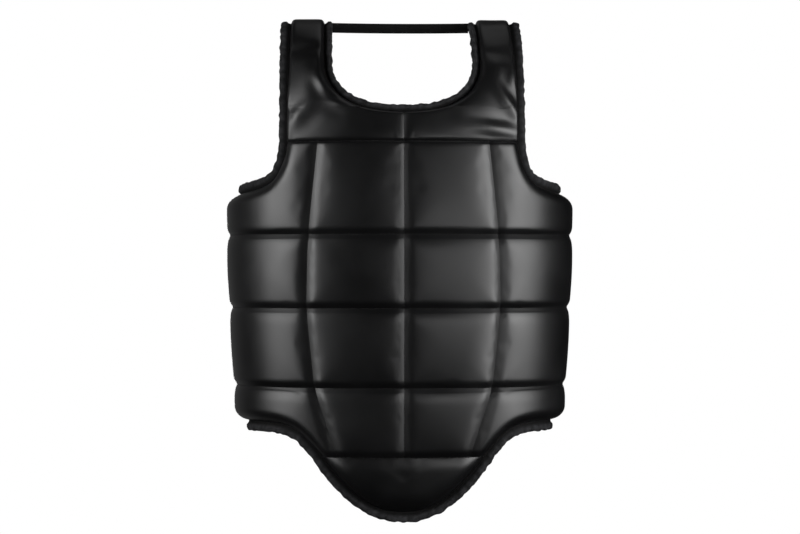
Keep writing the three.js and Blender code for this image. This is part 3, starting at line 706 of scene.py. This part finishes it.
def tape_tree():
    """A band of folded tape along a path whose points know the ways out and up from an edge. Its inner half
    is sewn down into a channel, and its outer half is a bead that ripples where it gathers."""
    tree, given, path = started_tree("folded tape", sizes=(
        "Half width", "Half thickness", "Girth", "Middle", "Lift", "End round", "Bead from", "Bead to",
        "Channel", "Gather depth", "Gather length", "Seed"))
    add = partial(add_node, tree)
    length = add("GeometryNodeCurveLength", {"Curve": path})
    stations = add(MATHS, {0: length, 1: TAPE_FORM["step"] * MM}, operation="DIVIDE")
    stations = add(MATHS, {0: stations}, operation="CEIL")
    grid = add("GeometryNodeMeshGrid", {
        "Size X": 1.0, "Size Y": 1.0, "Vertices X": stations, "Vertices Y": TAPE_FORM["round_points"]})
    where = add("GeometryNodeInputPosition")
    where = add("ShaderNodeVectorMath", {0: where, 1: (0.5, 0.5, 0.0)}, operation="ADD")
    where = add("ShaderNodeSeparateXYZ", {"Vector": where}).outputs
    along, round_share = where["X"], where["Y"]
    run = add(MATHS, {0: along, 1: length}, operation="MULTIPLY")
    round_run = add(MATHS, {0: round_share, 1: given["Girth"]}, operation="MULTIPLY")
    uv = add("ShaderNodeCombineXYZ", {"X": run, "Y": round_run})
    grid = add("GeometryNodeStoreNamedAttribute", {
        "Geometry": grid, "Name": "UVMap", "Value": uv}, data_type="FLOAT2", domain="CORNER")

    turn = add(MATHS, {0: round_share, 1: 2 * math.pi}, operation="MULTIPLY")
    section = []
    for wave in ("COSINE", "SINE"):
        wave = add(MATHS, {0: turn}, operation=wave)
        size = add(MATHS, {0: wave}, operation="ABSOLUTE")
        size = add(MATHS, {0: size, 1: TAPE_FORM["square_power"]}, operation="POWER")
        sign = add(MATHS, {0: wave}, operation="SIGN")
        section.append(add(MATHS, {0: sign, 1: size}, operation="MULTIPLY"))
    sideways, upright = section
    outer_half = add(MATHS, {0: sideways, 1: 0.5, 2: 0.5}, operation="MULTIPLY_ADD")

    from_end = add(MATHS, {0: along, 1: 0.5}, operation="PINGPONG")
    from_end = add(MATHS, {0: from_end, 1: length}, operation="MULTIPLY")
    from_end = add(MATHS, {0: from_end, 1: given["End round"]}, operation="DIVIDE", use_clamp=True)
    from_full = add(MATHS, {0: 1.0, 1: from_end}, operation="SUBTRACT")
    from_full = add(MATHS, {0: from_full, 1: 2.0}, operation="POWER")
    end_round = add(MATHS, {0: 1.0, 1: from_full}, operation="SUBTRACT")
    end_round = add(MATHS, {0: end_round}, operation="SQRT")

    wave_at = add(MATHS, {0: run, 1: given["Gather length"]}, operation="DIVIDE")
    wave_at = add(MATHS, {0: wave_at, 1: given["Seed"]}, operation="ADD")
    gathered = add("ShaderNodeTexNoise", {
        "W": wave_at, "Scale": 1.0, "Detail": 1.0}, noise_dimensions="1D").outputs["Fac"]
    round_wave = add(MATHS, {0: round_share, 1: PUFF["round_waves"]}, operation="MULTIPLY")
    puff_at = add("ShaderNodeCombineXYZ", {"X": wave_at, "Y": round_wave})
    puffed = add("ShaderNodeTexNoise", {
        "Vector": puff_at, "Scale": PUFF["scale"], "Detail": 2.0}, noise_dimensions="2D").outputs["Fac"]
    # Painted highlight on the puff crests and painted shade in their dips, taken from the same noise that
    # puffs the bead out.
    puff_shading = add("ShaderNodeMapRange", {
        "Value": puffed, "From Min": PUFF_SHADING["low"], "From Max": PUFF_SHADING["high"],
        "To Min": PUFF_SHADING["least"], "To Max": PUFF_SHADING["most"]})
    ripples = []
    for noise in (gathered, puffed):
        ripple = add(MATHS, {0: noise, 1: 0.5}, operation="SUBTRACT")
        ripples.append(add(MATHS, {0: ripple, 1: given["Gather depth"]}, operation="MULTIPLY"))
    gather, puff = ripples

    # The "bead" value stored below is painted light and shade for the tape's colour. It is 0 in the sewn
    # channel as painted shade, and on the bead it follows the puffs.
    sewn_half = add("ShaderNodeMapRange", {
        "Value": sideways, "From Min": given["Bead from"], "From Max": given["Bead to"],
        "To Min": 0.0, "To Max": 1.0}, interpolation_type="SMOOTHSTEP")
    on_top = add(MATHS, {0: upright, 1: 0.0}, operation="GREATER_THAN")
    sewn_half = add(MATHS, {0: sewn_half, 1: on_top}, operation="MULTIPLY")
    pressed = add(MATHS, {0: sewn_half, 1: given["Channel"]}, operation="MULTIPLY")
    plump = add(MATHS, {0: 1.0, 1: pressed}, operation="SUBTRACT")
    bead = add(MATHS, {0: 1.0, 1: sewn_half}, operation="SUBTRACT")
    bead = add(MATHS, {0: bead, 1: puff_shading}, operation="MULTIPLY")
    grid = add("GeometryNodeStoreNamedAttribute", {
        "Geometry": grid, "Name": "bead", "Value": bead}, data_type="FLOAT", domain="POINT")

    out = add(MATHS, {0: sideways, 1: end_round}, operation="MULTIPLY")
    out = add(MATHS, {0: out, 1: given["Half width"], 2: given["Middle"]}, operation="MULTIPLY_ADD")
    out = add(MATHS, {0: gather, 1: outer_half, 2: out}, operation="MULTIPLY_ADD")
    up = add(MATHS, {0: upright, 1: end_round}, operation="MULTIPLY")
    up = add(MATHS, {0: up, 1: plump}, operation="MULTIPLY")
    up = add(MATHS, {0: up, 1: given["Half thickness"], 2: given["Lift"]}, operation="MULTIPLY_ADD")
    puff = add(MATHS, {0: puff, 1: upright}, operation="MULTIPLY")
    up = add(MATHS, {0: puff, 1: outer_half, 2: up}, operation="MULTIPLY_ADD")

    place = None
    for name, distance in (("way_out", out), ("way_up", up)):
        way = add("GeometryNodeInputNamedAttribute", {"Name": name}, data_type="FLOAT_VECTOR")
        way = add("GeometryNodeSampleCurve", {
            "Curves": path, "Value": way.outputs["Attribute"], "Factor": along},
            data_type="FLOAT_VECTOR", mode="FACTOR").outputs
        step = add("ShaderNodeVectorMath", {0: way["Value"], "Scale": distance}, operation="SCALE")
        place = add("ShaderNodeVectorMath", {0: place or way["Position"], 1: step}, operation="ADD")
    tape = add("GeometryNodeSetPosition", {"Geometry": grid, "Position": place})
    tape = add("GeometryNodeMergeByDistance", {"Geometry": tape, "Distance": TAPE_FORM["weld"] * MM})
    return ended_tree(tree, tape, given["Finish"])


folded_tape = tape_tree()


def grown_along(name, path, tree, **sizes):
    """A plain mesh grown by a node tree along a path of points, ways out and ways up."""
    points, way_out, way_up = path
    mesh = bpy.data.meshes.new(name)
    mesh.from_pydata((points * MM).tolist(), [(i, i + 1) for i in range(len(points) - 1)], [])
    for key, ways in (("way_out", way_out), ("way_up", way_up)):
        mesh.attributes.new(key, "FLOAT_VECTOR", "POINT").data.foreach_set("vector", ways.reshape(-1))
    piece = placed(name, mesh)
    grow = piece.modifiers.new(tree.name, "NODES")
    grow.node_group = tree
    for socket in tree.interface.items_tree:
        if socket.in_out == "INPUT" and socket.name in sizes:
            grow[socket.identifier] = sizes[socket.name]
    piece.data = bpy.data.meshes.new_from_object(piece.evaluated_get(bpy.context.evaluated_depsgraph_get()))
    piece.data.name = name
    piece.modifiers.remove(grow)
    return piece


def tape_along(name, path, sizes, cloth, gather_depth, seed=0.0):
    """A band of folded tape that reaches out past the path and laps in over it. Sizes are in millimetres."""
    width, thickness = sizes["reach"] + sizes["lap"], sizes["thickness"]
    return grown_along(name, path, folded_tape, **{
        "Half width": width / 2 * MM, "Half thickness": thickness / 2 * MM,
        "Girth": 2 * (width + thickness) * MM, "Middle": (sizes["reach"] - sizes["lap"]) / 2 * MM,
        "Lift": (thickness / 2 - sizes["sink"]) * MM, "End round": TAPE_FORM["end_round"] * thickness * MM,
        "Bead from": sizes["bead_edge"] + TAPE_FORM["bead_blend"],
        "Bead to": sizes["bead_edge"] - TAPE_FORM["bead_blend"], "Channel": sizes["channel"],
        "Gather depth": gather_depth * MM, "Gather length": GATHER["length"] * MM,
        "Seed": seed, "Finish": cloth})


def edge_path(points, ways_up, inside):
    """Path along a free edge, with the way out at each point: along the surface and away from the padding."""
    along = np.gradient(points, axis=0)
    out = np.cross(along, ways_up)
    out /= np.linalg.norm(out, axis=1, keepdims=True)
    out *= np.sign((out * (points - inside)).sum(1, keepdims=True))
    return points, out, ways_up


def carried_on(path, distance):
    """The path with its last point carried on past a corner."""
    points, ways_up, inside = path
    step = points[-1] - points[-2]
    step = step / np.linalg.norm(step) * distance
    return (np.vstack([points, points[-1] + step]), np.vstack([ways_up, ways_up[-1]]),
            np.vstack([inside, inside[-1] + step]))


def joined(*stretches):
    return tuple(np.concatenate(parts) for parts in zip(*stretches))


def other_side(stretch):
    return tuple(part * np.array([-1, 1, 1]) for part in stretch)


def backwards(stretch):
    return tuple(part[::-1] for part in stretch)


tip = len(yoke_share) // 2
strap_end_inner = tuple(part[tip:0:-1] for part in (yoke_points[0], yoke_normals[0], yoke_points[1]))
strap_end_outer = tuple(part[tip:-1] for part in (yoke_points[0], yoke_normals[0], yoke_points[1]))
neck_edge = (yoke_points[:neck_end, 0], yoke_normals[:neck_end, 0], yoke_points[:neck_end, 1])
strap_edge = (yoke_points[:, -1], yoke_normals[:, -1], yoke_points[:, -2])
arm_edge = (side_points[0, corner + 1:], side_normals[0, corner + 1:], side_points[1, corner + 1:])
rear_edge = (side_points[:, -1], side_normals[:, -1], side_points[:, -2])
hem_edge = (side_points[-1, corner + 1:], side_normals[-1, corner + 1:], side_points[-2, corner + 1:])
flap_edge = backwards((flap_points[:, -1], flap_normals[:, -1], flap_points[:, -2]))

neck_half = joined(strap_end_inner, tuple(part[:-1] for part in neck_edge))
armhole_right = carried_on(joined(strap_end_outer, strap_edge, arm_edge), TAPE["reach"])
hem_half = carried_on(joined(flap_edge, hem_edge), TAPE["reach"])
edges = {
    "neck_binding": joined(neck_half, backwards(other_side(neck_half))),
    "armhole_binding_right": armhole_right,
    "armhole_binding_left": other_side(armhole_right),
    "rear_binding_right": rear_edge,
    "rear_binding_left": other_side(rear_edge),
    "hem_binding": joined(backwards(other_side(hem_half)), hem_half),
}
tapes = []
for number, (node, edge) in enumerate(edges.items()):
    path = edge_path(*edge)
    sizes = NECK_TAPE if node == "neck_binding" else TAPE
    tape = tape_along(f"{node}_tape", path, sizes, tape_cloth, GATHER["depth"], GATHER["seed_step"] * number)
    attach(tape, "root")
    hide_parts(node)
    tapes.append((node, path))


# Stitching: black polyester thread, one row of lockstitch through the sewn half of each tape and one along
# every sewn line of the quilting, pulled down into the groove.
TAPE_STITCH = {"pitch": 4.2, "length": 3.0, "thread": 0.8, "out": 1.2, "up": 5.0}
QUILT_STITCH = {"pitch": 4.6, "length": 3.4, "thread": 0.8, "out": 0.0, "up": 0.1}


def sewing_thread():
    """Twisted polyester thread with a slight gloss. The plies are drawn as bands along the stitch."""
    material, tree, shader = new_material("black polyester thread")
    ply_mm = 0.8
    place = add_node(tree, "ShaderNodeTexCoord").outputs["Object"]
    plies = add_node(tree, "ShaderNodeTexWave", {"Vector": place, "Scale": band_scale(ply_mm)},
                     bands_direction="DIAGONAL")
    colour = add_node(tree, "ShaderNodeValToRGB", {"Fac": plies.outputs["Fac"]})
    colour.color_ramp.elements[0].color = linear("#0a0a0a")
    colour.color_ramp.elements[1].color = linear("#1c1c1d")
    set_inputs(tree, shader, {"Base Color": colour, "Roughness": 0.55})
    return material


def stitch_tree():
    """A row of stitches in sewing thread beside an edge path."""
    tree, given, path = started_tree("row of stitches", sizes=("Pitch", "Length", "Thread", "Out", "Up"))
    holes = add_node(tree, "GeometryNodeResampleCurve", {
        "Curve": path, "Length": given["Pitch"]}, mode="LENGTH")
    for name, distance in (("way_out", given["Out"]), ("way_up", given["Up"])):
        way = add_node(tree, "GeometryNodeInputNamedAttribute", {"Name": name}, data_type="FLOAT_VECTOR")
        step = add_node(tree, "ShaderNodeVectorMath", {
            0: way.outputs["Attribute"], "Scale": distance}, operation="SCALE")
        holes = add_node(tree, "GeometryNodeSetPosition", {"Geometry": holes, "Offset": step})
    stitch = add_node(tree, "GeometryNodeMeshUVSphere", {"Segments": 6, "Rings": 5, "Radius": 0.5})
    size = add_node(tree, "ShaderNodeCombineXYZ", {
        "X": given["Length"], "Y": given["Thread"], "Z": given["Thread"]})
    along = add_node(tree, "GeometryNodeInputTangent")
    turn = add_node(tree, "FunctionNodeAlignRotationToVector", {"Vector": along}, axis="X")
    row = add_node(tree, "GeometryNodeInstanceOnPoints", {
        "Points": holes, "Instance": stitch, "Rotation": turn, "Scale": size})
    return ended_tree(tree, row, given["Finish"])


thread, stitch_row = sewing_thread(), stitch_tree()


def sew(name, path, stitch):
    row = grown_along(
        name, path, stitch_row,
        **{"Pitch": stitch["pitch"] * MM, "Length": stitch["length"] * MM, "Thread": stitch["thread"] * MM,
           "Out": stitch["out"] * MM, "Up": stitch["up"] * MM, "Finish": thread})
    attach(row, "root")


for node, path in tapes:
    sew(f"{node}_stitches", path, TAPE_STITCH)

front_skin = front_points + front_normals * front_padding[..., None]
side_skin = side_points + side_normals * side_padding[..., None]
for k, (front_row, side_row) in enumerate(zip(front_lines, side_lines)):
    last = corner + 1 if k in (0, len(front_lines) - 1) else len(side_share)
    right = (side_skin[side_row, :last], side_normals[side_row, :last], side_normals[side_row, :last])
    front = (front_skin[front_row], front_normals[front_row], front_normals[front_row])
    sew(f"sewn_line_{k + 1}", joined(backwards(other_side(right)), front, right), QUILT_STITCH)
for name, c in zip(("left", "middle", "right"), seam_columns):
    sew(f"column_seam_{name}", (front_skin[:, c], front_normals[:, c], front_normals[:, c]), QUILT_STITCH)


# Neck strap and back strap: flat elastic webbing. The neck strap joins the inner edges of the shoulder straps
# behind the neck, and the back strap runs from one rear edge round the back to the other.
NECK_STRAP = {"width": 12, "thickness": 2, "lift_deg": 101, "rise": 5.5, "sag": 0.8, "tuck": 3, "points": 25}
BACK_STRAP = {"width": 50, "thickness": 2, "z": -338, "start_deg": 98, "gap": 0.9, "points": 90}


def elastic_webbing():
    """Covered rubber woven into a band: lengthwise cords with a fine cross rib. The cords are about 0.9 mm
    and are drawn at 1.7 mm so that they show."""
    return woven("black elastic webbing", yarn_mm=1.7, cross_mm=1.2, dark="#050505", light="#0d0d0e",
                 looks={"Roughness": 0.85, "Specular IOR Level": 0.2}, waver=0.8)


webbing = elastic_webbing()


def elastic_band(node, path, strap):
    """Flat band along its middle line: way out is across its width and way up is through its thickness."""
    half = strap["width"] / 2
    flat = {"reach": half, "lap": half, "thickness": strap["thickness"], "sink": strap["thickness"] / 2,
            "bead_edge": -1.0, "channel": 0.0}
    band = tape_along(f"{node}_webbing", path, flat, webbing, gather_depth=0.0)
    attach(band, "root")
    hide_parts(node)


strap_point, strap_normal = yoke_place(np.array(YOKE["neck_half_width"]), np.array(NECK_STRAP["lift_deg"]))
level = strap_point + strap_normal * NECK_STRAP["rise"]
across = np.linspace(-1, 1, NECK_STRAP["points"])
neck_half_length = YOKE["neck_half_width"] - NECK_TAPE["reach"] + NECK_STRAP["tuck"]
neck_line = np.stack([
    across * neck_half_length, level[1] + 0 * across, level[2] - NECK_STRAP["sag"] * (1 - across**2)], -1)
upright = np.tile([0.0, 0.0, 1.0], (len(across), 1))
backward = np.tile([0.0, 1.0, 0.0], (len(across), 1))
elastic_band("neck_strap", (neck_line, upright, backward), NECK_STRAP)

round_back = np.linspace(BACK_STRAP["start_deg"], 360 - BACK_STRAP["start_deg"], BACK_STRAP["points"])
back_line, back_out = body_place(round_back, BACK_STRAP["z"] + 0 * round_back)
back_line = back_line - back_out * (BACK_STRAP["gap"] + BACK_STRAP["thickness"] / 2)
upright = np.tile([0.0, 0.0, 1.0], (len(round_back), 1))
elastic_band("back_strap", (back_line, upright, back_out), BACK_STRAP)


# Floor: a plain pale painted studio floor, at the height where a standing wearer's feet would be. It is lit
# evenly by itself, as by lamps that are kept off the protector.
FLOOR_Z, FLOOR_SIZE, FLOOR_LIGHT = -1.4, 12, 0.75


def pale_floor():
    """Matte floor paint, rolled on: nearly even, with faint broad patches."""
    material, tree, shader = new_material("pale painted floor")
    patches_per_metre = 3.0
    place = add_node(tree, "ShaderNodeTexCoord").outputs["Object"]
    patches = add_node(tree, "ShaderNodeTexNoise", {"Vector": place, "Scale": patches_per_metre, "Detail": 4})
    colour = add_node(tree, "ShaderNodeValToRGB", {"Fac": patches.outputs["Fac"]})
    colour.color_ramp.elements[0].color = linear("#d6d6d6")
    colour.color_ramp.elements[1].color = linear("#e2e2e2")
    set_inputs(tree, shader, {
        "Base Color": colour, "Roughness": 0.6, "Emission Color": colour, "Emission Strength": FLOOR_LIGHT})
    return material


half = FLOOR_SIZE / 2
floor_mesh = bpy.data.meshes.new("floor")
floor_mesh.from_pydata(
    [(-half, -half, FLOOR_Z), (half, -half, FLOOR_Z), (half, half, FLOOR_Z), (-half, half, FLOOR_Z)],
    [], [(0, 1, 2, 3)])
floor_mesh.materials.append(pale_floor())
floor = placed("floor", floor_mesh)
floor.visible_diffuse = floor.visible_glossy = False


# Light: a tall softbox on each side with a weaker panel beside the right one, a weak one above, and one
# behind for the wearer's side. The backdrop is white behind the protector and pale grey elsewhere in the
# room, and it glows a little on the edges from behind on the left.
LIGHT_COLUMNS = ("name", "turn_deg", "rise_deg", "distance", "width", "height", "power", "spread_deg")
LIGHTS = [
    ("softbox_left", -65, 11, 1.9, 1.05, 2.1, 5.6, 60),
    ("softbox_right", 61, 6, 1.9, 1.25, 1.6, 6.2, 60),
    ("panel_right", 22, 2, 2.2, 1.4, 0.5, 0.75, 60),
    ("softbox_above", 150, 74, 1.9, 1.4, 0.9, 0.42, 90),
    ("softbox_behind", 180, 0, 1.8, 0.9, 0.7, 5, 90),
]
LIT_CENTRE = Vector((0, -0.05, -0.29))
GLOW = {"facing": (-0.42, 0.91, 0.0), "edge": 0.6, "full": 0.95, "least": 0.006, "most": 0.16}
PAPER = {"facing": (0.0, 1.0, 0.0), "edge": 0.9, "full": 0.96, "least": 0.6, "most": 1.0}

for light in (dict(zip(LIGHT_COLUMNS, row)) for row in LIGHTS):
    turn, rise = math.radians(light["turn_deg"]), math.radians(light["rise_deg"])
    away = Vector((math.sin(turn) * math.cos(rise), -math.cos(turn) * math.cos(rise), math.sin(rise)))
    lamp = bpy.data.lights.new(light["name"], "AREA")
    lamp.shape = "RECTANGLE"
    lamp.size, lamp.size_y = light["width"], light["height"]
    lamp.energy = light["power"]
    lamp.spread = math.radians(light["spread_deg"])
    softbox = placed(light["name"], lamp)
    softbox.location = LIT_CENTRE + away * light["distance"]
    softbox.rotation_euler = (-away).to_track_quat("-Z", "Y").to_euler()
    softbox.visible_camera = False

world = bpy.data.worlds.new("white studio")
world.use_nodes = True
sky = world.node_tree
sky.nodes.clear()
seen = add_node(sky, "ShaderNodeLightPath").outputs["Is Camera Ray"]
way = add_node(sky, "ShaderNodeTexCoord").outputs["Generated"]
backdrops = []
for wall in (GLOW, PAPER):
    facing = add_node(sky, "ShaderNodeVectorMath", {0: way, 1: wall["facing"]}, operation="DOT_PRODUCT")
    strength = add_node(sky, "ShaderNodeMapRange", {
        "Value": facing.outputs["Value"], "From Min": wall["edge"], "From Max": wall["full"],
        "To Min": wall["least"], "To Max": wall["most"]}, interpolation_type="SMOOTHSTEP")
    backdrops.append(add_node(sky, "ShaderNodeBackground", {
        "Color": linear("#ffffff"), "Strength": strength.outputs["Result"]}).outputs["Background"])
background = add_node(sky, "ShaderNodeMixShader", {0: seen, 1: backdrops[0], 2: backdrops[1]})
add_node(sky, "ShaderNodeOutputWorld", {"Surface": background.outputs[0]})
bpy.context.scene.world = world
bpy.context.scene.view_settings.view_transform = "Standard"
